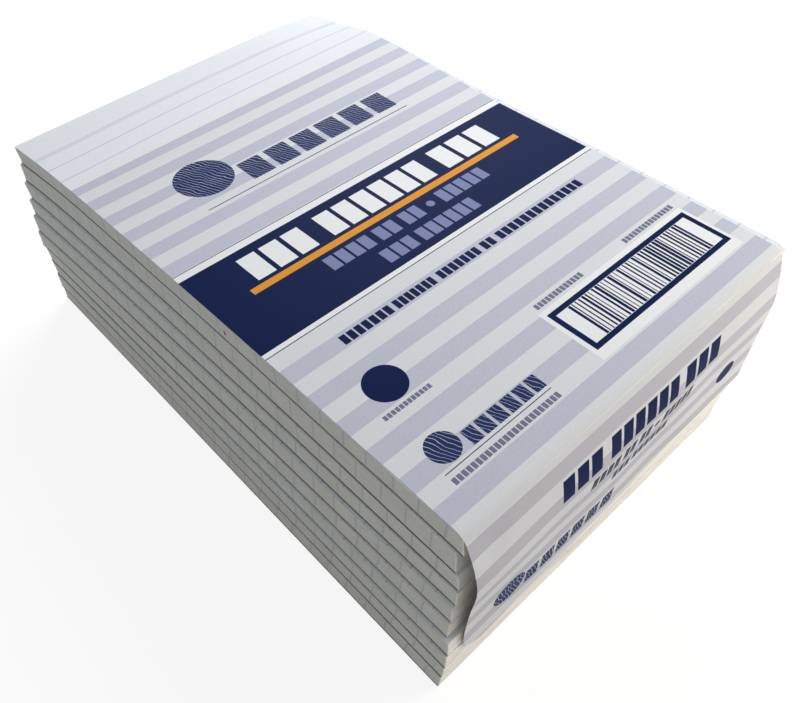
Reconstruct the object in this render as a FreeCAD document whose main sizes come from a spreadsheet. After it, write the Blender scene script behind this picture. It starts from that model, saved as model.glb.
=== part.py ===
import FreeCAD, Part
import math
import os

import Sketcher

# Block of tear-off writing pads under one paper wrapper, in millimetres.
# +X is right, +Y is the head of the sheets, -Y is the glued end, and +Z is up.
# The origin is the centre of the face that the block rests on.

Vector = FreeCAD.Vector
Rotation = FreeCAD.Rotation

doc = FreeCAD.newDocument("writing_pad_block")
sizes = doc.addObject("Spreadsheet::Sheet", "Sizes")

# name, value, meaning
driving_sizes = [
    ("sheet_width", 125.0, "sheet, left to right"),
    ("sheet_length", 200.0, "sheet, glued end to head"),
    ("sheet_thickness", 0.068, "one leaf"),
    ("sheets_per_pad", 100.0, "leaves in a pad"),
    ("board_thickness", 0.5, "backing board"),
    ("glue_thickness", 0.3, "padding glue over the near end"),
    ("pad_count", 10.0, "pads in the block"),
    ("knee_y", -40.0, "the block is level from the glued end to here"),
    ("crown_y", 0.0, "first point that the top passes through"),
    ("shoulder_y", 45.0, "here the steeper fall to the head starts"),
    ("bend_y", 78.0, "second point that the top passes through"),
    ("left_knee_drop", -0.4, "how far the left side lies below the full stack"),
    ("left_crown_drop", 0.2, "the same at crown_y"),
    ("left_shoulder_drop", 1.9, "the same at shoulder_y"),
    ("left_bend_drop", 4.1, "the same at bend_y"),
    ("left_head_drop", 8.3, "the same past the head"),
    ("right_knee_drop", 0.4, "how far the right side lies below the full stack"),
    ("right_crown_drop", 1.2, "the same at crown_y"),
    ("right_shoulder_drop", 1.0, "the same at shoulder_y"),
    ("right_bend_drop", 2.4, "the same at bend_y"),
    ("right_head_drop", 6.2, "the same past the head"),
    ("trim_margin", 6.0, "what the uncut layers stand out past the sheets"),
    ("wrapper_thickness", 0.12, "wrapper paper"),
    ("wrapper_left_inset", 0.2, "bare sheet left of the wrapper"),
    ("wrapper_right_inset", 1.2, "bare sheet right of the wrapper"),
    ("wrapper_left_bare", 40.5, "bare sheet past the wrapper's head edge, left"),
    ("wrapper_right_bare", 40.6, "the same on the right"),
    ("fold_clearance", 0.1, "from the top pad's glued end to the start of the fold"),
    ("fold_radius", 0.4, "inside of the wrapper's fold"),
    ("bulge_radius", 18.0, "inside of the flap's bulge"),
    ("heel_radius", 30.0, "where the flap meets the lower pads"),
    ("bulge_height", 55.0, "where the flap stands out farthest"),
    ("bulge_left", 4.6, "how far the bulge stands past the nominal end, left"),
    ("bulge_right", 3.7, "the same on the right"),
    ("heel_height", 30.0, "where the flap turns straight down"),
    ("heel_clearance", 0.15, "flap to the farthest glued end behind it"),
    ("flap_left_edge", 16.0, "height of the flap's lower edge, left"),
    ("flap_right_edge", 23.0, "the same on the right"),
    ("flap_corner_radius", 9.0, "round lower left corner of the flap"),
]

# How each pad lies, from the top one down. The near left corner of the sheets is aside by
# side and end, the pad is turned by turn degrees, and the top leaf leans past the lowest by
# lean_side and lean_end.
pad_lies = [
    {"side": 4.5, "end": 0.3, "turn": -0.07, "lean_side": -0.2, "lean_end": 0.3},
    {"side": 3.8, "end": 1.3, "turn": -0.28, "lean_side": 0.6, "lean_end": 0.8},
    {"side": 3.6, "end": 0.0, "turn": 0.17, "lean_side": -0.2, "lean_end": 0.3},
    {"side": 3.3, "end": -0.2, "turn": 0.32, "lean_side": -0.2, "lean_end": -0.5},
    {"side": 2.3, "end": 0.0, "turn": 0.28, "lean_side": 0.2, "lean_end": 0.1},
    {"side": 1.5, "end": 0.0, "turn": 0.24, "lean_side": 0.2, "lean_end": -0.4},
    {"side": 0.4, "end": -1.3, "turn": -0.08, "lean_side": -0.1, "lean_end": 0.1},
    {"side": -0.2, "end": -1.4, "turn": -0.24, "lean_side": -0.3, "lean_end": -0.5},
    {"side": -0.3, "end": -0.9, "turn": -0.2, "lean_side": -0.1, "lean_end": -0.7},
    {"side": -0.6, "end": -0.2, "turn": -0.36, "lean_side": 0.2, "lean_end": -0.6},
]


def put_size(row, name, value, meaning):
    sizes.set("A" + str(row), name)
    sizes.set("B" + str(row), str(value))
    sizes.setAlias("B" + str(row), name)
    sizes.set("C" + str(row), meaning)


row = 1
for name, value, meaning in driving_sizes:
    put_size(row, name, value, meaning)
    row += 1
doc.recompute()

pad_count = int(sizes.get("pad_count"))
for number in range(1, pad_count + 1):
    lie = pad_lies[(number - 1) % len(pad_lies)]
    for key, value in lie.items():
        put_size(row, "pad_%02d_%s" % (number, key), value, "how pad %d lies" % number)
        row += 1
doc.recompute()


def size(name):
    return float(sizes.get(name))


# Heights: a level is (share of the full stack, lift), so that one level is both the top of a
# piece and the underside of the piece on it.
pad_height = "(Sizes.sheets_per_pad * Sizes.sheet_thickness + Sizes.board_thickness)"
stack_height = "(Sizes.pad_count * " + pad_height + ")"
pad_height_value = size("sheets_per_pad") * size("sheet_thickness") + size("board_thickness")
stack_height_value = size("pad_count") * pad_height_value


def level_at(side, station, level):
    """Height of a level at one station of the left or right side: formula and value."""
    share, lift = level
    drop = side + "_" + station + "_drop"
    formula = "(%s - Sizes.%s) * %r + %s" % (stack_height, drop, share, lift or "0")
    lift_value = size(lift.split(".")[1]) if lift else 0.0
    return formula, (stack_height_value - size(drop)) * share + lift_value


def station_y(station):
    """Y of a station: formula and value."""
    if station == "end":
        return "-Sizes.sheet_length / 2 - Sizes.trim_margin", -size("sheet_length") / 2 - size("trim_margin")
    if station == "head":
        return "Sizes.sheet_length / 2 + Sizes.trim_margin", size("sheet_length") / 2 + size("trim_margin")
    return "Sizes." + station + "_y", size(station + "_y")


def pins(edge, place, point, formulas):
    """Constraints that hold one point of an edge at bound coordinates, with their formulas."""
    return [(Sketcher.Constraint("DistanceX", edge, place, point.x), formulas[0]),
            (Sketcher.Constraint("DistanceY", edge, place, point.y), formulas[1])]


def constrain(sketch, constraints):
    """Add pairs of constraint and formula, and bind each that has a formula."""
    sketch.addConstraint([constraint for constraint, formula in constraints])
    for index, (constraint, formula) in enumerate(constraints):
        if formula:
            sketch.setExpression("Constraints[%d]" % index, formula)


def end_at(sketch, edge, point):
    """1 where the edge starts at the point, 2 where it ends there."""
    gaps = [sketch.getPoint(edge, place).distanceToPoint(point) for place in (1, 2)]
    return 1 if gaps[0] < gaps[1] else 2


def side_outline(name, side, low, high):
    """Side view of one layer of the stack at the left or right limit, in the YZ plane."""
    sketch = doc.addObject("Sketcher::SketchObject", name)
    sign = "-" if side == "left" else ""
    sketch.Placement = FreeCAD.Placement(Vector(0, 0, 0), Rotation(Vector(1, 1, 1), 120))
    sketch.setExpression("Placement.Base.x", sign + "(Sizes.sheet_width / 2 + Sizes.trim_margin)")

    def spot(station, level):
        # from the glued end to the knee the block is level
        height = level_at(side, "knee" if station == "end" else station, level)
        across = station_y(station)
        return Vector(across[1], height[1], 0), (across[0], height[0])

    corners = [("end", low), ("end", high), ("knee", high), ("shoulder", high),
               ("head", high), ("head", low), ("shoulder", low), ("knee", low)]
    through = {2: ("crown", high), 3: ("bend", high), 5: ("bend", low), 6: ("crown", low)}
    # what lies flat on the table has straight edges
    curved = {number: corner for number, corner in through.items() if corner[1][0] > 0}
    spots = [spot(*corner) for corner in corners]
    starts = [point for point, formulas in spots]
    finishes = starts[1:] + starts[:1]
    edges = []
    for number, (start, finish) in enumerate(zip(starts, finishes)):
        if number in curved:
            edges.append(Part.Arc(start, spot(*curved[number])[0], finish))
        else:
            edges.append(Part.LineSegment(start, finish))
    sketch.addGeometry(edges, False)
    sketch.addGeometry([Part.Point(spot(*corner)[0]) for corner in curved.values()], True)

    constraints = []
    for number, (start, formulas) in enumerate(spots):
        before = (number - 1) % len(spots)
        here = end_at(sketch, number, start)
        there = end_at(sketch, before, start)
        constraints += pins(number, here, start, formulas)
        constraints.append((Sketcher.Constraint("Coincident", before, there, number, here), None))
    for guide, (number, corner) in enumerate(curved.items(), len(edges)):
        point, formulas = spot(*corner)
        constraints += pins(guide, 1, point, formulas)
        constraints.append((Sketcher.Constraint("PointOnObject", guide, 1, number), None))
    constrain(sketch, constraints)
    return sketch


def layer(name, low, high):
    """One uncut layer of the stack, a little wider and longer than the sheets."""
    loft = doc.addObject("Part::Loft", name)
    loft.Sections = [side_outline(name + "_left", "left", low, high),
                     side_outline(name + "_right", "right", low, high)]
    loft.Solid = True
    loft.Ruled = True
    return loft


def footprint(name, pad, offset, length, width):
    """The leaning prism that cuts a layer to one pad's outline, or to its glue film."""
    faces = []
    middle = "((Sizes.pad_count - %d + 0.5) * %s)" % (int(pad), pad_height)
    turn = "Sizes.pad_%s_turn" % pad
    limits = {"low": "(-Sizes.trim_margin)", "high": "(%s + Sizes.trim_margin)" % stack_height}
    for place, height in limits.items():
        face = doc.addObject("Part::Plane", name + "_" + place)
        face.setExpression("Length", length)
        face.setExpression("Width", width)
        rise = "(%s - %s) / %s" % (height, middle, pad_height)
        leans = "Sizes.pad_%s_lean_%s * " + rise
        across = "-Sizes.sheet_width / 2 + Sizes.pad_%s_side + %s - (%s) * sin(%s * 1 deg)" % (
            pad, leans % (pad, "side"), offset, turn)
        along = "-Sizes.sheet_length / 2 + Sizes.pad_%s_end + %s + (%s) * cos(%s * 1 deg)" % (
            pad, leans % (pad, "end"), offset, turn)
        corner = "vector(%s; %s; %s)" % (across, along, height)
        face.setExpression("Placement", "placement(%s; rotation(vector(0; 0; 1); %s))" % (corner, turn))
        faces.append(face)
    prism = doc.addObject("Part::Loft", name)
    prism.Sections = faces
    prism.Solid = True
    prism.Ruled = True
    return prism


def common(label, base, tool):
    """The part of one body that lies inside another."""
    piece = doc.addObject("Part::Common", label)
    piece.Label = label
    piece.Base = base
    piece.Tool = tool
    return piece


pieces = []

# The pads, from the top one down: sheets on a backing board, and glue over the near end.
for number in range(1, pad_count + 1):
    pad = "%02d" % number
    under = ((pad_count - number) / pad_count, "")
    on_board = (under[0], "Sizes.board_thickness")
    over = ((pad_count - number + 1) / pad_count, "")
    outline = footprint("outline_" + pad, pad, "0", "Sizes.sheet_width", "Sizes.sheet_length")
    glue_outline = footprint("glue_outline_" + pad, pad, "-Sizes.glue_thickness",
                             "Sizes.sheet_width", "Sizes.glue_thickness")
    sheets_layer = layer("sheets_layer_" + pad, on_board, over)
    board_layer = layer("board_layer_" + pad, under, on_board)
    glue_layer = layer("glue_layer_" + pad, under, over)
    pieces.append(common("pad_%s_sheets" % pad, sheets_layer, outline))
    pieces.append(common("pad_%s_backing_board" % pad, board_layer, outline))
    pieces.append(common("pad_%s_glue_edge" % pad, glue_layer, glue_outline))


# The wrapper: a panel on the top pad, and a flap that folds down over the glued ends.
wrapper_left = "(-Sizes.sheet_width / 2 + Sizes.pad_01_side + Sizes.wrapper_left_inset)"
wrapper_right = "(Sizes.sheet_width / 2 + Sizes.pad_01_side - Sizes.wrapper_right_inset)"
wrapper_left_x = -size("sheet_width") / 2 + size("pad_01_side") + size("wrapper_left_inset")
wrapper_right_x = size("sheet_width") / 2 + size("pad_01_side") - size("wrapper_right_inset")


def glued_end(number, side):
    """Y of the farthest point of one pad's glued end, on the left or right."""
    pad = "pad_%02d_" % number
    across = size("sheet_width") if side == "right" else 0.0
    turned = across * math.sin(math.radians(size(pad + "turn")))
    lean = abs(size(pad + "lean_end")) / 2
    return -size("sheet_length") / 2 + size(pad + "end") + turned - lean - size("glue_thickness")


fold_formula = ("=-sheet_length / 2 + pad_01_end + min(0; sheet_width * sin(pad_01_turn * 1 deg))"
                " - abs(pad_01_lean_end) / 2 - glue_thickness - fold_clearance")
put_size(row, "fold_y", fold_formula, "where the wrapper's fold starts")
doc.recompute()
fold = "Sizes.fold_y"
fold_y = size("fold_y")


def outline_sketch(name, rotation, corners):
    """A closed outline of straight edges with bound corners."""
    sketch = doc.addObject("Sketcher::SketchObject", name)
    sketch.Placement = FreeCAD.Placement(Vector(0, 0, 0), rotation)
    starts = [Vector(across, up, 0) for across, up, formulas in corners]
    finishes = starts[1:] + starts[:1]
    sketch.addGeometry([Part.LineSegment(start, finish) for start, finish in zip(starts, finishes)], False)
    constraints = []
    for number, (start, corner) in enumerate(zip(starts, corners)):
        constraints += pins(number, 1, start, corner[2])
        before = (number - 1) % len(corners)
        constraints.append((Sketcher.Constraint("Coincident", before, 2, number, 1), None))
    constrain(sketch, constraints)
    return sketch


def extrusion(name, sketch, length):
    """A sketch drawn out along its normal by a bound length."""
    body = doc.addObject("Part::Extrusion", name)
    body.Base = sketch
    body.DirMode = "Normal"
    body.Solid = True
    body.setExpression("LengthFwd", length)
    return body


head_left = size("sheet_length") / 2 - size("wrapper_left_bare")
head_right = size("sheet_length") / 2 - size("wrapper_right_bare")
panel_outline = outline_sketch("panel_outline", Rotation(), [
    (wrapper_left_x, fold_y, (wrapper_left, fold)),
    (wrapper_right_x, fold_y, (wrapper_right, fold)),
    (wrapper_right_x, head_right, (wrapper_right, "Sizes.sheet_length / 2 - Sizes.wrapper_right_bare")),
    (wrapper_left_x, head_left, (wrapper_left, "Sizes.sheet_length / 2 - Sizes.wrapper_left_bare")),
])
panel = common("wrapper_panel", layer("wrapper_layer", (1.0, ""), (1.0, "Sizes.wrapper_thickness")),
               extrusion("panel_prism", panel_outline, stack_height + " + Sizes.trim_margin"))


def offset_points(points, distance):
    """The same path moved sideways, to the left of its direction."""
    steps = [(b - a).normalize() for a, b in zip(points, points[1:])]
    normals = [Vector(-step.y, step.x, 0) for step in steps]
    moved = [points[0] + normals[0] * distance]
    for point, first, second in zip(points[1:], normals, normals[1:]):
        moved.append(point + (first + second) * (distance / (1 + first.dot(second))))
    moved.append(points[-1] + normals[-1] * distance)
    return moved


def rounded_edges(points, radii):
    """Edges along a path whose inner corners are rounded to the given radii."""
    edges = []
    last = points[0]
    for before, corner, after, radius in zip(points, points[1:], points[2:], radii):
        back = (before - corner).normalize()
        on = (after - corner).normalize()
        half = back.getAngle(on) / 2
        cut = radius / math.tan(half)
        middle = (back + on).normalize() * (radius / math.sin(half) - radius)
        edges.append(Part.makeLine(last, corner + back * cut))
        edges.append(Part.Arc(corner + back * cut, corner + middle, corner + on * cut).toShape())
        last = corner + on * cut
    edges.append(Part.makeLine(last, points[-1]))
    return edges


def flap_section(side):
    """Closed section of the flap at the left or right limit of the uncut layers."""
    top = stack_height_value - size(side + "_knee_drop")
    end = -size("sheet_length") / 2
    behind = [glued_end(number, side) for number in range(1, pad_count + 1)]
    heel = min(behind) - size("heel_clearance")
    # seen from the right: first number is y, second is z
    inner = [Vector(fold_y, top, 0),
             Vector(fold_y - size("fold_radius"), top, 0),
             Vector(end - size("bulge_" + side), size("bulge_height"), 0),
             Vector(heel, size("heel_height"), 0),
             Vector(heel, size("trim_margin"), 0)]
    thickness = size("wrapper_thickness")
    outer = offset_points(inner, -thickness)
    inner_radii = [size("fold_radius"), size("bulge_radius"), size("heel_radius")]
    outer_radii = [inner_radii[0] + thickness, inner_radii[1] + thickness, inner_radii[2] - thickness]
    edges = rounded_edges(inner, inner_radii)
    edges.append(Part.makeLine(inner[-1], outer[-1]))
    edges += rounded_edges(outer, outer_radii)[::-1]
    edges.append(Part.makeLine(outer[0], inner[0]))
    section = Part.Wire(edges)
    limit = size("sheet_width") / 2 + size("trim_margin")
    x = -limit if side == "left" else limit
    section.Placement = FreeCAD.Placement(Vector(x, 0, 0), Rotation(Vector(1, 1, 1), 120))
    return section


flap_blank = doc.addObject("Part::Feature", "flap_blank")
flap_blank.Shape = Part.makeLoft([flap_section("left"), flap_section("right")], True, True)

# The flap's outline seen from the glued end, in the XZ plane: its lower left corner is worn round.
left, right = wrapper_left_x, wrapper_right_x
low_left, low_right = size("flap_left_edge"), size("flap_right_edge")
top = stack_height_value + size("trim_margin")
flap_top = stack_height + " + Sizes.trim_margin"
flap_outline = outline_sketch("flap_outline", Rotation(Vector(1, 0, 0), 90), [
    (left, low_left, (wrapper_left, "Sizes.flap_left_edge")),
    (right, low_right, (wrapper_right, "Sizes.flap_right_edge")),
    (right, top, (wrapper_right, flap_top)),
    (left, top, (wrapper_left, flap_top)),
])
flap_prism = extrusion("flap_prism", flap_outline, "Sizes.sheet_length / 2 + 2 * Sizes.trim_margin")
doc.recompute()
flap_tool = doc.addObject("Part::Fillet", "flap_tool")
flap_tool.Base = flap_prism
same_place = 1e-6
round_corner = size("flap_corner_radius")
corner_edges = []
for number, edge in enumerate(flap_prism.Shape.Edges, 1):
    middle = edge.CenterOfMass
    if abs(middle.x - left) < same_place and abs(middle.z - low_left) < same_place:
        corner_edges.append((number, round_corner, round_corner))
flap_tool.Edges = corner_edges

wrapper = doc.addObject("Part::Fuse", "paper_wrapper")
wrapper.Label = "paper_wrapper"
wrapper.Base = panel
wrapper.Tool = common("wrapper_flap", flap_blank, flap_tool)
pieces.append(wrapper)
doc.recompute()

for item in doc.Objects:
    if "Invalid" in item.State or "Error" in item.State:
        raise RuntimeError("%s was not built" % item.Name)

os.makedirs("parts", exist_ok=True)
for piece in pieces:
    if piece.Shape.isNull() or not piece.Shape.isValid() or len(piece.Shape.Solids) != 1:
        raise RuntimeError("%s is not one sound solid" % piece.Label)
    piece.Shape.exportStep("parts/" + piece.Label + ".step")
    print(piece.Label, round(piece.Shape.Volume, 1))
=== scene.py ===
import math

import bpy
import numpy as np
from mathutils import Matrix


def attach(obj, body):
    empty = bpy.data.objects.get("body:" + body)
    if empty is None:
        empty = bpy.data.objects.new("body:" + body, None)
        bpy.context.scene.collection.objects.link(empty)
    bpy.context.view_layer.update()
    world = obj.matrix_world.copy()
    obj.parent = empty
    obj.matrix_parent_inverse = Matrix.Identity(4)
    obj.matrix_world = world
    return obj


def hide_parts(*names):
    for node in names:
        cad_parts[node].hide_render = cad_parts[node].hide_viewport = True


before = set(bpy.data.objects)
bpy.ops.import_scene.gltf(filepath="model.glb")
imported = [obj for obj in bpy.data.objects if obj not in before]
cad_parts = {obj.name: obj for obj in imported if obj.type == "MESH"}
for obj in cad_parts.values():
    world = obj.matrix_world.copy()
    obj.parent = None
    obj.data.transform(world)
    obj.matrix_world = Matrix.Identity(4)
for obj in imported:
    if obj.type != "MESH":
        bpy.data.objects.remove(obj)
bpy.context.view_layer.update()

# Block of ten ruled writing pads under one paper wrapper. Sizes are in millimetres, and makePiece
# turns them to metres. +Y is the head of the sheets, -Y the glued end, and z = 0 the table.

mm = 0.001
chance = np.random.default_rng(41)


def linearColour(hexCode):
    # sRGB hex to the linear numbers that the shaders want
    parts = [int(hexCode[i:i + 2], 16) / 255 for i in (1, 3, 5)]
    return [p / 12.92 if p <= 0.04045 else ((p + 0.055) / 1.055) ** 2.4 for p in parts] + [1.0]


def addNode(tree, kind, settings=None, inputs=None):
    # one node with its settings, and its sockets set to a value or linked to another node's socket
    node = tree.nodes.new(kind)
    for name, value in (settings or {}).items():
        setattr(node, name, value)
    for name, value in (inputs or {}).items():
        if isinstance(value, bpy.types.NodeSocket):
            tree.links.new(value, node.inputs[name])
        else:
            node.inputs[name].default_value = value
    return node


def newMaterial(name):
    # an empty node tree with its output node
    material = bpy.data.materials.new(name)
    material.use_nodes = True
    material.node_tree.nodes.clear()
    return material, material.node_tree


def finishMaterial(tree, colour, roughness, bump, specular):
    # the surface shader, with its plain numbers on its own sockets
    shader = addNode(tree, "ShaderNodeBsdfPrincipled", None, {
        "Base Color": colour, "Roughness": roughness, "Normal": bump, "Specular IOR Level": specular})
    addNode(tree, "ShaderNodeOutputMaterial", None, {"Surface": shader.outputs[0]})


block = {
    "sheetWidth": 125.0, "sheetLength": 200.0, "padCount": 10,
    "leaves": 100, "leafThickness": 0.068, "board": 0.5, "glue": 0.3,
    "margin": 6.0,                                  # the falls are given this far past the sheets
    "fallPlaces": (-40.0, 0.0, 45.0, 78.0, 106.0),  # the y of each fall below
    "fallLeft": (-0.4, 0.2, 1.9, 4.1, 8.3),         # how far the top lies below the full stack
    "fallRight": (0.4, 1.2, 1.0, 2.4, 6.2),
    "ripple": (0.09, 0.35),                 # unevenness of each pad's top, and the share left on the top one
    "droop": (0.9, 3.5, 8),                 # the wrapper bends the top down: depth, reach, dying out below
    "dogEar": (1.5, 30.0, 35.0, 66.0, 22.0),        # the head's right corner hangs: depth, from x, over,
                                                    # from y, over
    # how each pad lies, top one first: near left corner aside (x, y), turn in degrees, and how far
    # the top leaf leans past the lowest (x, y)
    "lies": [
        (4.5, 0.3, -0.07, -0.2, 0.3),
        (3.8, 1.3, -0.28, 0.6, 0.8),
        (3.6, 0.0, 0.17, -0.2, 0.3),
        (3.3, -0.2, 0.32, -0.2, -0.5),
        (2.3, 0.0, 0.28, 0.2, 0.1),
        (1.5, 0.0, 0.24, 0.2, -0.4),
        (0.4, -1.3, -0.08, -0.1, 0.1),
        (-0.2, -1.4, -0.24, -0.3, -0.5),
        (-0.3, -0.9, -0.2, -0.1, -0.7),
        (-0.6, -0.2, -0.36, 0.2, -0.6),
    ],
}
padHeight = block["leaves"] * block["leafThickness"] + block["board"]
stackHeight = padHeight * block["padCount"]


def circleHeight(y, places, heights):
    # height at y on the circle through three points
    (a, b, c), (p, q, r) = places, heights
    d = 2 * ((b - a) * (r - p) - (c - a) * (q - p))
    e = b * b - a * a + q * q - p * p
    f = c * c - a * a + r * r - p * p
    centreY, centreZ = ((r - p) * e - (q - p) * f) / d, ((b - a) * f - (c - a) * e) / d
    reach = np.hypot(b - centreY, q - centreZ)
    return centreZ + np.sign(q - centreZ) * np.sqrt(reach ** 2 - (y - centreY) ** 2)


def sideFall(y, falls):
    # level up to the first place, then an arc through the first three and another through the last three
    places = block["fallPlaces"]
    near = circleHeight(np.clip(y, places[0], places[2]), places[:3], falls[:3])
    far = circleHeight(np.clip(y, places[2], places[4]), places[2:], falls[2:])
    return np.where(y < places[2], near, far)


def levelHeight(level, x, y):
    # height of the top of the lowest so many pads: the stack less its fall, times the share of
    # pads below, plus a ripple of three slow waves that is nothing at the table, less a droop that
    # grows with the square of the nearness to the glued end and dies out two or three pads down, and
    # less a hang of the head's right corner that grows with the square of x and an S-curve of y
    limit = block["sheetWidth"] / 2 + block["margin"]
    across = (x + limit) / (2 * limit)
    fall = sideFall(y, block["fallLeft"]) * (1 - across) + sideFall(y, block["fallRight"]) * across
    share = level / block["padCount"]
    waves = (np.sin(y / 11.0 + 1.7 * level) + np.sin(y / 23.0 + x / 31.0 + 2.9 * level)
             + 0.6 * np.sin(y / 6.1 - x / 17.0 + 4.1 * level))
    height, topShare = block["ripple"]
    calm = topShare if level == block["padCount"] else 1.0      # the wrapper presses the top leaves flat
    ripple = height * waves * min(1.0, 2 * share) * calm
    depth, reach, dying = block["droop"]
    droop = depth * share ** dying * np.clip((reach - block["sheetLength"] / 2 - y) / reach, 0, 1.2) ** 2
    hang, fromX, overX, fromY, overY = block["dogEar"]
    past = np.clip((y - fromY) / overY, 0, 1)
    corner = hang * share ** 2 * np.clip((x - fromX) / overX, 0, 1.1) ** 2 * past * past * (3 - 2 * past)
    return (stackHeight - fall) * share + ripple - droop - corner


def padPoint(number, along, up, z):
    # place on a pad: along is (across the sheet, from the glued end), turned and leaned as the pad lies
    side, end, turn, leanSide, leanEnd = block["lies"][number - 1]
    rise = (z - (block["padCount"] - number + 0.5) * padHeight) / padHeight
    cosine, sine = math.cos(math.radians(turn)), math.sin(math.radians(turn))
    x = -block["sheetWidth"] / 2 + side + leanSide * rise + along * cosine - up * sine
    y = -block["sheetLength"] / 2 + end + leanEnd * rise + along * sine + up * cosine
    return x, y


def rimOrder(rows, columns):
    # indices of a grid's outer points, anticlockwise seen from its front
    i = np.concatenate([np.arange(rows - 1), np.full(columns - 1, rows - 1),
                        np.arange(rows - 1, 0, -1), np.zeros(columns - 1, int)])
    j = np.concatenate([np.zeros(rows - 1, int), np.arange(columns - 1),
                        np.full(rows - 1, columns - 1), np.arange(columns - 1, 0, -1)])
    return i * columns + j


def closedBlock(front, back, walls):
    # a front grid and a back grid of the same size, joined by rows of points that run round their
    # rims from front to back. Returns the points, the faces and how many faces are front and back.
    rows, columns = front.shape[:2]
    count = rows * columns
    points = np.concatenate([front.reshape(-1, 3), back.reshape(-1, 3), walls.reshape(-1, 3)])
    i, j = np.meshgrid(np.arange(rows - 1), np.arange(columns - 1), indexing="ij")
    corner = (i * columns + j).ravel()
    frontFaces = np.stack([corner, corner + columns, corner + columns + 1, corner + 1], 1)
    rim = rimOrder(rows, columns)
    between = 2 * count + np.arange(walls.shape[0] * len(rim)).reshape(-1, len(rim))
    rings = np.concatenate([rim[None], between, rim[None] + count])
    ahead = np.roll(rings, -1, axis=1)
    wallFaces = np.stack([rings[1:], ahead[1:], ahead[:-1], rings[:-1]], -1).reshape(-1, 4)
    return points, np.concatenate([frontFaces, frontFaces[:, ::-1] + count, wallFaces]), 2 * len(frontFaces)


def makePiece(name, points, faces, materials, slotNumbers=None, places=None, keenEdge=30):
    # a mesh object in metres. places gives every point its own pattern coordinates, in mm, and edges
    # bent by more than keenEdge degrees stay sharp.
    mesh = bpy.data.meshes.new(name)
    mesh.from_pydata((points * mm).tolist(), [], faces.tolist())
    for material in materials:
        mesh.materials.append(material)
    if slotNumbers is not None:
        mesh.polygons.foreach_set("material_index", slotNumbers.astype(np.int32))
    if places is not None:
        layer = mesh.attributes.new("place", "FLOAT_VECTOR", "POINT")
        layer.data.foreach_set("vector", places.astype(np.float32).ravel())
    mesh.shade_smooth()
    mesh.set_sharp_from_angle(angle=math.radians(keenEdge))
    mesh.update()
    piece = bpy.data.objects.new(name, mesh)
    bpy.context.scene.collection.objects.link(piece)
    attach(piece, "root")
    return piece


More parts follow.
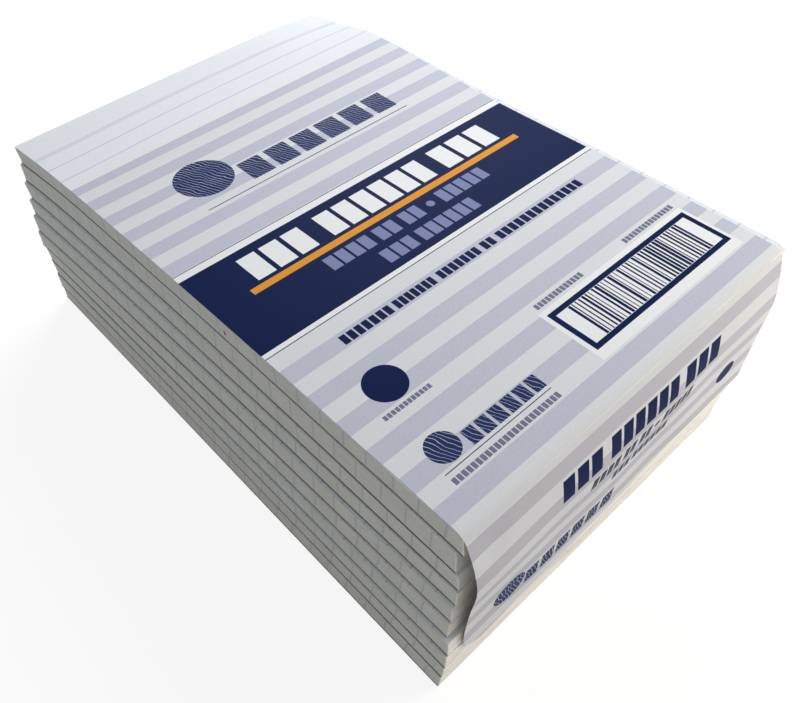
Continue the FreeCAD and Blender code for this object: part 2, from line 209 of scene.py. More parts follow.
def leafEdgeMaterial():
    # guillotined bank paper, seen on the cut edges: a dull grey-green white, darker in fine streaks along the
    # leaves that are partly the paper's own tone and partly painted shade in the gaps between the leaves, and
    # the ends of the ruled lines as faint blue slanting ticks
    look = {"paper": "#E8E8E2", "dark": "#CBCCC5", "tick": "#ACB0C4", "rulePitch": 8.07, "firstRule": 5.4,
            "tickWidth": 0.5, "tickSlant": 0.1,
            "fleck": "#B02A30", "fleckPlace": (83.0, 68.9), "fleckSize": 0.85}
    material, tree = newMaterial("cut_edges_of_bank_paper")
    place = addNode(tree, "ShaderNodeAttribute", {"attribute_name": "place"}).outputs["Vector"]
    # leaves are 0.068 mm thick, too fine to show, so the streaks are drawn 0.3 mm high and 20 mm long.
    # The grain is 0.5 mm wide, the blotches are 8 mm.
    stretch = addNode(tree, "ShaderNodeMapping", None, {"Vector": place, "Scale": (0.05, 0.05, 3.2)})
    streaks = addNode(tree, "ShaderNodeTexNoise", None,
                      {"Vector": stretch.outputs[0], "Scale": 1.0, "Detail": 3.0})
    grain = addNode(tree, "ShaderNodeTexNoise", None, {"Vector": place, "Scale": 2.2, "Detail": 2.0})
    blotches = addNode(tree, "ShaderNodeTexNoise", None, {"Vector": place, "Scale": 0.12})
    shares = addNode(tree, "ShaderNodeMath", {"operation": "MULTIPLY_ADD"},
                     {0: grain.outputs["Fac"], 1: 0.9, 2: streaks.outputs["Fac"]})
    both = addNode(tree, "ShaderNodeMath", {"operation": "MULTIPLY_ADD"},
                   {0: blotches.outputs["Fac"], 1: 0.5, 2: shares.outputs[0]})
    tone = addNode(tree, "ShaderNodeMapRange", None,
                   {"Value": both.outputs[0], "From Min": 0.75, "From Max": 1.65})
    # the darker tone is partly painted shade of the gaps between the leaves
    paper = addNode(tree, "ShaderNodeMix", {"data_type": "RGBA"},
                    {0: tone.outputs[0], 6: linearColour(look["dark"]), 7: linearColour(look["paper"])})
    # a tick stands where the distance along the sheet, slanted with height and wandering slowly,
    # meets a ruled line
    split = addNode(tree, "ShaderNodeSeparateXYZ", None, {0: place})
    slant = addNode(tree, "ShaderNodeMath", {"operation": "MULTIPLY_ADD"},
                    {0: split.outputs["Z"], 1: look["tickSlant"], 2: split.outputs["Y"]})
    slow = addNode(tree, "ShaderNodeMapping", None, {"Vector": place, "Scale": (0.02, 0.09, 0.04)})
    wander = addNode(tree, "ShaderNodeTexNoise", None,
                     {"Vector": slow.outputs[0], "Scale": 1.0, "Detail": 0.5})
    wandered = addNode(tree, "ShaderNodeMath", {"operation": "MULTIPLY_ADD"},
                       {0: wander.outputs["Fac"], 1: 2.4, 2: slant.outputs[0]})
    shifted = addNode(tree, "ShaderNodeMath", {"operation": "SUBTRACT"},
                      {0: wandered.outputs[0], 1: look["firstRule"] - look["rulePitch"] / 2})
    around = addNode(tree, "ShaderNodeMath", {"operation": "FLOORED_MODULO"},
                     {0: shifted.outputs[0], 1: look["rulePitch"]})
    away = addNode(tree, "ShaderNodeMath", {"operation": "SUBTRACT"},
                   {0: around.outputs[0], 1: look["rulePitch"] / 2})
    gap = addNode(tree, "ShaderNodeMath", {"operation": "ABSOLUTE"}, {0: away.outputs[0]})
    near = addNode(tree, "ShaderNodeMapRange", {"interpolation_type": "SMOOTHSTEP"},
                   {"Value": gap.outputs[0], "From Min": look["tickWidth"], "From Max": 0.08})
    # the lines run across the sheet, so they end on its two sides and not on its head or glued end.
    # The sides are what lies within 96 mm of 99 mm from the glued end.
    onSides = addNode(tree, "ShaderNodeMath", {"operation": "COMPARE"},
                      {0: split.outputs["Y"], 1: 99.0, 2: 96.0})
    sideways = addNode(tree, "ShaderNodeMath", {"operation": "MULTIPLY"},
                       {0: near.outputs[0], 1: onSides.outputs[0]})
    worn = addNode(tree, "ShaderNodeMath", {"operation": "MULTIPLY"},
                   {0: sideways.outputs[0], 1: streaks.outputs["Fac"]})
    ticked = addNode(tree, "ShaderNodeMix", {"data_type": "RGBA"},
                     {0: worn.outputs[0], 6: paper.outputs[2], 7: linearColour(look["tick"])})
    # one small red fleck on the left edge of the top pad, an ellipse taller than it is long
    aside = addNode(tree, "ShaderNodeMath", {"operation": "SUBTRACT"},
                    {0: split.outputs["Y"], 1: look["fleckPlace"][0]})
    over = addNode(tree, "ShaderNodeMath", {"operation": "SUBTRACT"},
                   {0: split.outputs["Z"], 1: look["fleckPlace"][1]})
    wide = addNode(tree, "ShaderNodeMath", {"operation": "MULTIPLY"}, {0: aside.outputs[0], 1: 1.9})
    squares = addNode(tree, "ShaderNodeCombineXYZ", None,
                      {0: wide.outputs[0], 1: over.outputs[0], 2: split.outputs["X"]})
    reach = addNode(tree, "ShaderNodeVectorMath", {"operation": "LENGTH"}, {0: squares.outputs[0]})
    onFleck = addNode(tree, "ShaderNodeMath", {"operation": "LESS_THAN"},
                      {0: reach.outputs["Value"], 1: look["fleckSize"]})
    flecked = addNode(tree, "ShaderNodeMix", {"data_type": "RGBA"},
                      {0: onFleck.outputs[0], 6: ticked.outputs[2], 7: linearColour(look["fleck"])})
    bump = addNode(tree, "ShaderNodeBump", None,
                   {"Height": both.outputs[0], "Strength": 0.35, "Distance": 0.00006})
    finishMaterial(tree, flecked.outputs[2], 0.92, bump.outputs[0], 0.1)
    return material


def ruledFaceMaterial():
    # offset-ruled bank paper: white, a little blue, uncoated, with pale blue feint lines and one wide
    # header line. place.z is the number of the ruled line, counted from the glued end.
    look = {"paper": "#E0E3E6", "line": "#C3C7D6", "header": "#CDD2DC", "headerRule": 22.0,
            "lineWidth": 0.055, "headerWidth": 0.17}       # half widths, as a share of the rule's pitch
    material, tree = newMaterial("ruled_bank_paper")
    place = addNode(tree, "ShaderNodeAttribute", {"attribute_name": "place"}).outputs["Vector"]
    split = addNode(tree, "ShaderNodeSeparateXYZ", None, {0: place})
    nearest = addNode(tree, "ShaderNodeMath", {"operation": "ROUND"}, {0: split.outputs["Z"]})
    off = addNode(tree, "ShaderNodeMath", {"operation": "SUBTRACT"},
                  {0: split.outputs["Z"], 1: nearest.outputs[0]})
    gap = addNode(tree, "ShaderNodeMath", {"operation": "ABSOLUTE"}, {0: off.outputs[0]})
    onLine = addNode(tree, "ShaderNodeMapRange", {"interpolation_type": "SMOOTHSTEP"},
                     {"Value": gap.outputs[0], "From Min": look["lineWidth"],
                      "From Max": look["lineWidth"] * 0.3})
    allowed = addNode(tree, "ShaderNodeMath", {"operation": "LESS_THAN"},
                      {0: split.outputs["Z"], 1: look["headerRule"] - 0.5})
    ruled = addNode(tree, "ShaderNodeMath", {"operation": "MULTIPLY"},
                    {0: onLine.outputs[0], 1: allowed.outputs[0]})
    fromHeader = addNode(tree, "ShaderNodeMath", {"operation": "SUBTRACT"},
                         {0: split.outputs["Z"], 1: look["headerRule"]})
    headerGap = addNode(tree, "ShaderNodeMath", {"operation": "ABSOLUTE"}, {0: fromHeader.outputs[0]})
    onHeader = addNode(tree, "ShaderNodeMapRange", {"interpolation_type": "SMOOTHSTEP"},
                       {"Value": headerGap.outputs[0], "From Min": look["headerWidth"],
                        "From Max": look["headerWidth"] * 0.45})
    # clumped fibres make the paper cloudy in spots of 0.6 mm
    fibres = addNode(tree, "ShaderNodeTexNoise", None, {"Vector": place, "Scale": 1.6, "Detail": 4.0})
    cloudy = addNode(tree, "ShaderNodeMapRange", None,
                     {"Value": fibres.outputs["Fac"], "From Min": 0.3, "From Max": 0.7,
                      "To Min": 0.94, "To Max": 1.0})
    paper = addNode(tree, "ShaderNodeMix", {"data_type": "RGBA", "blend_type": "MULTIPLY"},
                    {0: 1.0, 6: linearColour(look["paper"]), 7: cloudy.outputs[0]})
    lined = addNode(tree, "ShaderNodeMix", {"data_type": "RGBA"},
                    {0: ruled.outputs[0], 6: paper.outputs[2], 7: linearColour(look["line"])})
    headed = addNode(tree, "ShaderNodeMix", {"data_type": "RGBA"},
                     {0: onHeader.outputs[0], 6: lined.outputs[2], 7: linearColour(look["header"])})
    bump = addNode(tree, "ShaderNodeBump", None,
                   {"Height": fibres.outputs["Fac"], "Strength": 0.15, "Distance": 0.00003})
    finishMaterial(tree, headed.outputs[2], 0.8, bump.outputs[0], 0.12)
    return material


def greyBoardMaterial():
    # unlined grey board made from mixed waste: dark warm grey, with paler and darker fibres and a soft
    # cut edge
    look = {"fibre": "#6E6B5A", "dark": "#48463A", "fleck": "#8A8674"}
    material, tree = newMaterial("unlined_grey_board")
    place = addNode(tree, "ShaderNodeAttribute", {"attribute_name": "place"}).outputs["Vector"]
    # the fibres are 2 mm long. They are too thin to show, so they are drawn 0.4 mm thick. The flecks
    # are 0.3 mm wide.
    longWays = addNode(tree, "ShaderNodeMapping", None, {"Vector": place, "Scale": (0.5, 0.5, 2.5)})
    fibres = addNode(tree, "ShaderNodeTexNoise", None,
                     {"Vector": longWays.outputs[0], "Scale": 1.0, "Detail": 5.0})
    board = addNode(tree, "ShaderNodeMix", {"data_type": "RGBA"},
                    {0: fibres.outputs["Fac"], 6: linearColour(look["dark"]), 7: linearColour(look["fibre"])})
    specks = addNode(tree, "ShaderNodeTexNoise", None, {"Vector": place, "Scale": 3.0, "Detail": 1.0})
    few = addNode(tree, "ShaderNodeMapRange", None,
                  {"Value": specks.outputs["Fac"], "From Min": 0.62, "From Max": 0.7})
    flecked = addNode(tree, "ShaderNodeMix", {"data_type": "RGBA"},
                      {0: few.outputs[0], 6: board.outputs[2], 7: linearColour(look["fleck"])})
    bump = addNode(tree, "ShaderNodeBump", None,
                   {"Height": fibres.outputs["Fac"], "Strength": 0.5, "Distance": 0.0001})
    finishMaterial(tree, flecked.outputs[2], 0.95, bump.outputs[0], 0.1)
    return material


def paddingGlueMaterial():
    # brushed-on padding compound, dried to a thin cream film: slightly glossy, with the leaf ends showing
    # through as thin brownish lines and thicker milky patches where the brush left more
    look = {"film": "#F0ECE2", "leafEnd": "#C8BCA6", "milky": "#F1EFE9"}
    material, tree = newMaterial("dried_padding_compound")
    place = addNode(tree, "ShaderNodeAttribute", {"attribute_name": "place"}).outputs["Vector"]
    # the leaf ends are too fine to show, so their lines are drawn 0.4 mm high. The milky patches are
    # 17 mm wide and 3 mm high.
    flat = addNode(tree, "ShaderNodeMapping", None, {"Vector": place, "Scale": (0.03, 0.03, 2.4)})
    lines = addNode(tree, "ShaderNodeTexNoise", None,
                    {"Vector": flat.outputs[0], "Scale": 1.0, "Detail": 4.0})
    thin = addNode(tree, "ShaderNodeMapRange", None,
                   {"Value": lines.outputs["Fac"], "From Min": 0.5, "From Max": 0.66})
    film = addNode(tree, "ShaderNodeMix", {"data_type": "RGBA"},
                   {0: thin.outputs[0], 6: linearColour(look["film"]), 7: linearColour(look["leafEnd"])})
    brushed = addNode(tree, "ShaderNodeMapping", None, {"Vector": place, "Scale": (0.06, 0.06, 0.3)})
    patches = addNode(tree, "ShaderNodeTexNoise", None,
                      {"Vector": brushed.outputs[0], "Scale": 1.0, "Detail": 2.0})
    thick = addNode(tree, "ShaderNodeMapRange", None,
                    {"Value": patches.outputs["Fac"], "From Min": 0.5, "From Max": 0.65})
    milked = addNode(tree, "ShaderNodeMix", {"data_type": "RGBA"},
                     {0: thick.outputs[0], 6: film.outputs[2], 7: linearColour(look["milky"])})
    rough = addNode(tree, "ShaderNodeMapRange", None,
                    {"Value": patches.outputs["Fac"], "To Min": 0.62, "To Max": 0.42})
    bump = addNode(tree, "ShaderNodeBump", None,
                   {"Height": lines.outputs["Fac"], "Strength": 0.5, "Distance": 0.00008})
    finishMaterial(tree, milked.outputs[2], rough.outputs[0], bump.outputs[0], 0.4)
    return material


leafEdges = leafEdgeMaterial()
ruledFace = ruledFaceMaterial()
greyBoard = greyBoardMaterial()
paddingGlue = paddingGlueMaterial()
print("pad materials made")


pads = {
    "acrossSteps": 25, "alongSteps": 39,     # grid of a sheet's face
    "nearSteps": (0.0, 0.8, 1.6, 2.4, 3.4, 5.0),    # closer steps at the glued end
    "bands": 22,                             # bundles of leaves that show on a cut edge
    "bandIn": 0.07, "bandWave": 0.05,        # how far a bundle steps in, and how it wanders
    "boardOut": 0.12, "boardBands": 6,       # a board stands out this far at mid-thickness
    "glueRidge": 0.08, "glueSteps": (64, 18),
    "rimStep": 5.0,                          # distance round the edge that one rim point counts for
    # distance from the glued end, and the number of the ruled line there: the lines stand a little
    # farther apart near the head, where the top leaves curl
    "ruleKnots": ((0.0, 5.4, 158.7, 167.8, 176.7, 185.9, 200.0), (-0.67, 0.0, 19.0, 20.0, 21.0, 22.0, 23.5)),
    "lineDip": (2.2, 34.0, 110.0, 70.0),     # they bend at the left edge: depth, width, from, over
    "tickShift": 0.9,                        # the ticks of a pad stand aside from the next pad's
}


def edgeWays(along, up, width, length):
    # which way is out at each rim point: across and along parts
    outAcross = np.where(along <= 0, -1.0, np.where(along >= width, 1.0, 0.0))
    outAlong = np.where(up <= 0, -1.0, np.where(up >= length, 1.0, 0.0))
    return outAcross, outAlong


def bundleSteps(shareUp, distance, bands, deep, wave):
    # how far each bundle of leaves steps in: one chance value a bundle, plus a slow wave along the edge
    band = np.rint(shareUp * bands).astype(int)
    base = chance.uniform(-deep, 0.0, bands)[band]
    turns, start = chance.uniform(0.5, 3.0, bands)[band], chance.uniform(0, 6.28, bands)[band]
    return base + wave * np.sin(distance / 60.0 * turns + start)


def sheetStack(number, lowLevel, lift, highLevel, drop, bands, stepOut):
    # a stack with a sheet's outline: front grid on the upper surface, back grid on the lower one, and
    # rows round the edge between them, whose distance out is stepOut(share of height, distance round).
    # lift is how far the lower surface lies above its level, drop how far the upper one lies below its own.
    width, length = block["sheetWidth"], block["sheetLength"]
    ups = np.concatenate([pads["nearSteps"], np.linspace(10, length, pads["alongSteps"])])
    along, up = np.meshgrid(np.linspace(0, width, pads["acrossSteps"] + 1), ups, indexing="ij")
    middle = (block["padCount"] - number + 0.5) * padHeight
    x, y = padPoint(number, along, up, middle)
    top = levelHeight(highLevel, x, y) - drop
    bottom = levelHeight(lowLevel, x, y) + lift
    front = np.stack([*padPoint(number, along, up, top), top], -1)
    back = np.stack([*padPoint(number, along, up, bottom), bottom], -1)
    rim = rimOrder(*along.shape)
    rimAlong, rimUp = along.ravel()[rim], up.ravel()[rim]
    outAcross, outAlong = edgeWays(rimAlong, rimUp, width, length)
    distance = np.arange(len(rim)) * pads["rimStep"]
    shares = np.linspace(1, 0, bands + 1)[1:-1, None]
    out = stepOut(shares + 0 * distance, distance + 0 * shares)
    z = bottom.ravel()[rim] + shares * (top - bottom).ravel()[rim]
    wallAlong, wallUp = rimAlong + out * outAcross, rimUp + out * outAlong
    walls = np.stack([*padPoint(number, wallAlong, wallUp, z), z], -1)
    points, faces, capFaces = closedBlock(front, back, walls)
    allAlong = np.concatenate([along.ravel(), along.ravel(), wallAlong.ravel()])
    allUp = np.concatenate([up.ravel(), up.ravel(), wallUp.ravel()])
    return points, faces, capFaces, allAlong, allUp


def makeSheets(number):
    # the leaves of one pad, on its board
    low = block["padCount"] - number
    bands = pads["bands"]
    steps = lambda share, distance: bundleSteps(share, distance, bands, pads["bandIn"], pads["bandWave"])
    points, faces, capFaces, along, up = sheetStack(number, low, block["board"], low + 1, 0.0, bands, steps)
    slots = np.zeros(len(faces))
    slots[:capFaces] = 1
    # the cut edges use their height for the ticks, and the faces the number of the ruled line
    wallCount = len(points) - 2 * (pads["acrossSteps"] + 1) * (pads["alongSteps"] + len(pads["nearSteps"]))
    deep, wide, fromUp, overUp = pads["lineDip"]
    dip = deep * np.exp(-(along / wide) ** 2) * np.clip((up - fromUp) / overUp, 0, 1)
    third = np.interp(up + dip, *pads["ruleKnots"])
    third[-wallCount:] = points[-wallCount:, 2]
    shift = pads["tickShift"] * math.sin(2.4 * number)
    places = np.stack([along, up + shift * (np.arange(len(points)) >= len(points) - wallCount), third], 1)
    piece = makePiece("pad_%02d_leaves" % number, points, faces, [leafEdges, ruledFace], slots, places, 20)
    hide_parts("pad_%02d_sheets" % number)


def makeBoard(number):
    # a backing board with a soft cut edge: its rim bulges out at mid-thickness
    low = block["padCount"] - number
    bulge = lambda share, distance: (pads["boardOut"] * (1 - (2 * share - 1) ** 2)
                                     + 0.05 * np.sin(distance / 37.0 + number) - 0.03)
    points, faces, capFaces, along, up = sheetStack(
        number, low, 0.0, low, -block["board"], pads["boardBands"], bulge)
    places = np.stack([along, up, points[:, 2] + 40.0 * number], 1)
    piece = makePiece("pad_%02d_board" % number, points, faces, [greyBoard], None, places, 40)
    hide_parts("pad_%02d_backing_board" % number)


def makeGlueFilm(number):
    # the film over the near end: a front grid of across and height whose distance out is the film's
    # thickness plus ridges at the leaf bundles and slow brush swells
    acrossSteps, upSteps = pads["glueSteps"]
    low = block["padCount"] - number
    along, share = np.meshgrid(np.linspace(0, block["sheetWidth"], acrossSteps + 1),
                               np.linspace(0, 1, upSteps + 1), indexing="ij")
    ridges = chance.uniform(-1, 1, upSteps + 1)[None, :] * np.ones_like(along)
    swell = np.sin(along / 9.0 + 1.3 * number) * np.sin(along / 23.0 + share * 4.0)
    out = block["glue"] + pads["glueRidge"] * (0.5 * ridges + 0.5 * swell)
    out *= 1 - 0.6 * np.abs(2 * share - 1) ** 6            # it thins towards the pad above and below
    x, y = padPoint(number, along, -out, (low + 0.5) * padHeight)
    bottom, top = levelHeight(low, x, y), levelHeight(low + 1, x, y)
    z = bottom + share * (top - bottom)
    front = np.stack([*padPoint(number, along, -out, z), z], -1)
    back = np.stack([*padPoint(number, along, 0 * out + 0.1, z), z], -1)
    rim = rimOrder(*along.shape)
    middle = (front.reshape(-1, 3)[rim] + back.reshape(-1, 3)[rim])[None] / 2
    points, faces, capFaces = closedBlock(front, back, middle)
    flatAlong = np.concatenate([along.ravel(), along.ravel(), along.ravel()[rim]])
    places = np.stack([flatAlong, points[:, 1], points[:, 2] + 25.0 * number], 1)
    piece = makePiece("pad_%02d_glue_film" % number, points, faces, [paddingGlue], None, places, 50)
    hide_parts("pad_%02d_glue_edge" % number)


for number in range(1, block["padCount"] + 1):
    makeSheets(number)
    makeBoard(number)
    makeGlueFilm(number)
print("pads made")


wrapper = {
    "thickness": 0.12, "lift": 0.03,
    "columns": 96, "flapSteps": 110, "panelSteps": 150,
    "span": (-57.8, 65.4),                      # x of the two side edges, before their own lines below
    "headY": (59.5, 59.4),                      # y of the head edge, left and right
    "printLeft": 58.0,                          # added to x, this is the distance across the print
    # the left and right edges: distance from the crease up the panel (minus on the flap), and x
    "leftEdge": ((-60, -8, 0, 8, 20, 30, 50, 62, 102, 165),
                 (-57.7, -57.8, -58.0, -57.95, -57.8, -57.95, -57.8, -57.95, -57.95, -57.9)),
    "rightEdge": ((-60, -8, 0, 4, 12, 30, 66, 102, 140, 165),
                  (65.0, 65.0, 65.0, 65.0, 65.2, 65.4, 65.3, 65.3, 66.2, 66.9)),
    # the flap's line seen from the left and from the right: y and z, from the crease down
    "flapLeft": ((-90, 72.62), (-99.4, 72.62), (-100.3, 72.1), (-100.9, 70.6), (-101.4, 68.9),
                 (-102.7, 65.2), (-103.7, 60.5), (-104.5, 55.9), (-104.3, 51.5), (-103.6, 46.0),
                 (-102.9, 37.6), (-102.4, 30.1), (-102.3, 24.9), (-102.2, 14.0)),
    "flapRight": ((-90, 71.93), (-99.4, 71.93), (-100.3, 71.4), (-100.8, 70.1), (-101.2, 68.5),
                  (-102.1, 65.0), (-103.1, 59.9), (-103.6, 56.0), (-103.5, 51.3), (-103.2, 46.0),
                  (-102.9, 37.1), (-102.8, 30.0), (-102.8, 24.1), (-102.8, 12.0)),
    "creaseStart": 10.2,                        # path length from the first point above to the crease
    # how far the flap reaches down its line, at each x
    "flapReach": ((-58, -52, -42, -30, 10, 36, 66), (56.6, 56.3, 55.6, 53.9, 53.0, 50.2, 49.0)),
    "cornerRound": 9.0,                         # lower left corner
    "softness": 1.6,                            # how far the paper rounds the line's corners
    "swell": 0.5,                               # slow dents of the flap
    "crumple": (0.35, -52.0, 5.0, 6.0, 4.5),    # at its left shoulder: depth, x, width, way down, height
}


def softLine(corners, step, softness):
    # a line through the corners, sampled evenly and rounded with a bell-shaped average that is narrow at
    # the crease and wide down the flap
    corners = np.array(corners)
    lengths = np.concatenate([[0], np.cumsum(np.hypot(*np.diff(corners, axis=0).T))])
    at = np.arange(0, lengths[-1], step)
    line = np.stack([np.interp(at, lengths, corners[:, k]) for k in (0, 1)], 1)

    def rounded(width):
        reach = int(3 * width / step)
        bell = np.exp(-0.5 * (np.arange(-reach, reach + 1) * step / width) ** 2)
        padded = np.pad(line, ((reach, reach), (0, 0)), mode="reflect", reflect_type="odd")
        return np.stack([np.convolve(padded[:, k], bell / bell.sum(), "valid") for k in (0, 1)], 1)

    wide = np.clip((at - wrapper["creaseStart"] - 1.0) / 6.0, 0, 1)[:, None]
    return at, rounded(0.5) * (1 - wide) + rounded(softness) * wide


def wrapperSurface():
    # grid of columns across and steps along the paper, from the flap's lower edge over the crease to the
    # head edge: x from the two side edges, y and z from the left and right lines mixed by x
    across = np.linspace(0, 1, wrapper["columns"] + 1)
    across = across - 0.06 * np.sin(2 * np.pi * across)     # closer columns at the two side edges
    leftEnd, rightEnd = wrapper["span"]
    x0 = leftEnd + across * (rightEnd - leftEnd)
    at, left = softLine(wrapper["flapLeft"], 0.2, wrapper["softness"])
    at2, right = softLine(wrapper["flapRight"], 0.2, wrapper["softness"])
    start = wrapper["creaseStart"]
    drop = np.interp(x0, *wrapper["flapReach"])
    radius = wrapper["cornerRound"]
    fromLeft = np.clip(x0 - leftEnd, 0, radius)
    drop = drop - (radius - np.sqrt(radius ** 2 - (radius - fromLeft) ** 2))
    drop = drop + 0.15 * np.sin(x0 / 7.0) * np.sin(x0 / 19.0)
    share = np.linspace(1, 0, wrapper["flapSteps"], endpoint=False)
    share = share ** 1.15                                   # closer steps near the crease
    down = drop[:, None] * share[None, :]
    mix = across[:, None]
    way = start + down
    y = np.interp(way, at, left[:, 0]) * (1 - mix) + np.interp(way, at2, right[:, 0]) * mix
    z = np.interp(way, at, left[:, 1]) * (1 - mix) + np.interp(way, at2, right[:, 1]) * mix
    # slow dents across the flap, none at the crease
    calm = np.clip(down / 14.0, 0, 1)
    column = x0[:, None]
    dents = 0.5 + 0.33 * np.sin(column / 13.0 + down / 17.0) + 0.17 * np.sin(column / 5.3 - down / 9.0)
    # and a small crumple where the corner was folded round
    depth, besideX, width, belowCrease, height = wrapper["crumple"]
    crumple = np.exp(-((column - besideX) / width) ** 2 - ((down - belowCrease) / height) ** 2)
    y = y - wrapper["swell"] * calm * dents + depth * crumple
    # the panel lies on the top leaf from the crease to the head edge, with closer steps near the crease
    creaseY = np.interp(start, at, left[:, 0]) * (1 - mix) + np.interp(start, at2, right[:, 0]) * mix
    headY = wrapper["headY"][0] * (1 - mix) + wrapper["headY"][1] * mix
    onShare = np.linspace(0, 1, wrapper["panelSteps"] + 1)[None, :] ** 1.3
    panelY = creaseY + (headY - creaseY) * onShare
    panelX = x0[:, None] + 0 * panelY
    panelZ = levelHeight(block["padCount"], panelX, panelY) + wrapper["lift"] + wrapper["thickness"]
    # near the crease the panel sinks as the lines do, and the flap hangs from where the panel ends
    toCrease = np.clip(-panelY - 90, 0, None)
    sinkLeft = np.interp(toCrease, -left[:, 0] - 90, left[:, 1]) - left[0, 1]
    sinkRight = np.interp(toCrease, -right[:, 0] - 90, right[:, 1]) - right[0, 1]
    panelZ = panelZ + (sinkLeft * (1 - mix) + sinkRight * mix) * (toCrease > 0)
    creaseZ = np.interp(start, at, left[:, 1]) * (1 - mix) + np.interp(start, at2, right[:, 1]) * mix
    z = z + panelZ[:, :1] - creaseZ
    y = np.concatenate([y, panelY], 1)
    z = np.concatenate([z, panelZ], 1)
    # length along the paper from the crease: plus up the panel, minus down the flap
    run = np.hypot(np.diff(y, axis=1), np.diff(z, axis=1))
    along = np.concatenate([np.zeros((len(x0), 1)), np.cumsum(run, axis=1)], 1)
    along = along - along[:, wrapper["flapSteps"]:wrapper["flapSteps"] + 1]
    leftX, rightX = np.interp(along, *wrapper["leftEdge"]), np.interp(along, *wrapper["rightEdge"])
    x = leftX + (rightX - leftX) * across[:, None]
    return x, y, z, along


def printedBox(tree, across, up, left, right, low, high):
    # 1 inside a box of the print: within half its width of its middle, times the same for its height
    inWidth = addNode(tree, "ShaderNodeMath", {"operation": "COMPARE"},
                      {0: across, 1: (left + right) / 2, 2: (right - left) / 2})
    inHeight = addNode(tree, "ShaderNodeMath", {"operation": "COMPARE"},
                       {0: up, 1: (low + high) / 2, 2: (high - low) / 2})
    inBoth = addNode(tree, "ShaderNodeMath", {"operation": "MULTIPLY"},
                     {0: inWidth.outputs[0], 1: inHeight.outputs[0]})
    return inBoth.outputs[0]


